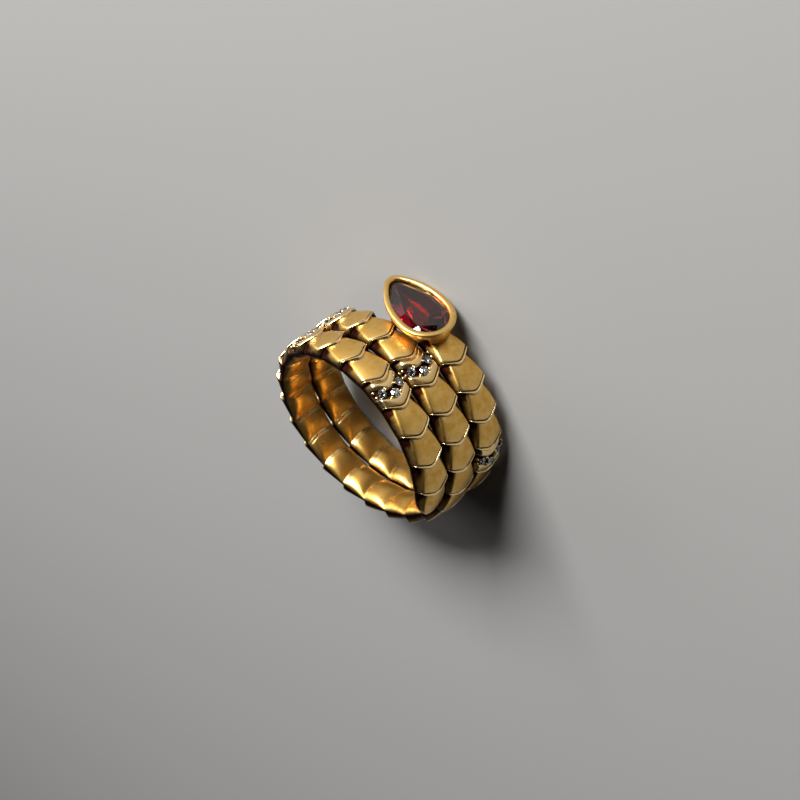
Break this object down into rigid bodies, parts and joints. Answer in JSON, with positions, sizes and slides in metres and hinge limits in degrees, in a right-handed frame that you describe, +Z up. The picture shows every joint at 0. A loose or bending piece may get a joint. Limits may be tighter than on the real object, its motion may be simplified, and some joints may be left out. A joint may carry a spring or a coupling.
{
  "type": "snake wrap ring",
  "caption": "Coiled snake finger ring of overlapping gold scales in up to three rows, with a red pear-cut stone set as its head and small clear stones in some scales.",
  "frame": {"origin": "bottom centre of the bounding box, on the surface that the ring lies on", "axes": "+Z up as the ring lies on its side, head side down; -Y from the finger hole towards the head; +X the way the pear-shaped stone points. The finger hole's axis leans 7.6 degrees from +Z, towards +Y and a little towards +X, because the coil's rising edge carries the ring."},
  "size_m": [0.0212, 0.023, 0.0117],
  "materials": {
    "gold": "satin, with polished edges",
    "red_stone": "polished facets",
    "clear_stone": "polished facets"
  },
  "bodies": {
    "root": {"band": "gold", "pear_stone": "red_stone", "stone_1_near": "clear_stone", "stone_1_tip": "clear_stone", "stone_1_far": "clear_stone", "stone_2_near": "clear_stone", "stone_2_tip": "clear_stone", "stone_2_far": "clear_stone", "stone_3_near": "clear_stone", "stone_3_tip": "clear_stone", "stone_3_far": "clear_stone", "stone_4_near": "clear_stone", "stone_4_tip": "clear_stone", "stone_4_far": "clear_stone", "stone_5_near": "clear_stone", "stone_5_tip": "clear_stone", "stone_5_far": "clear_stone"}
  },
  "joints": []
}
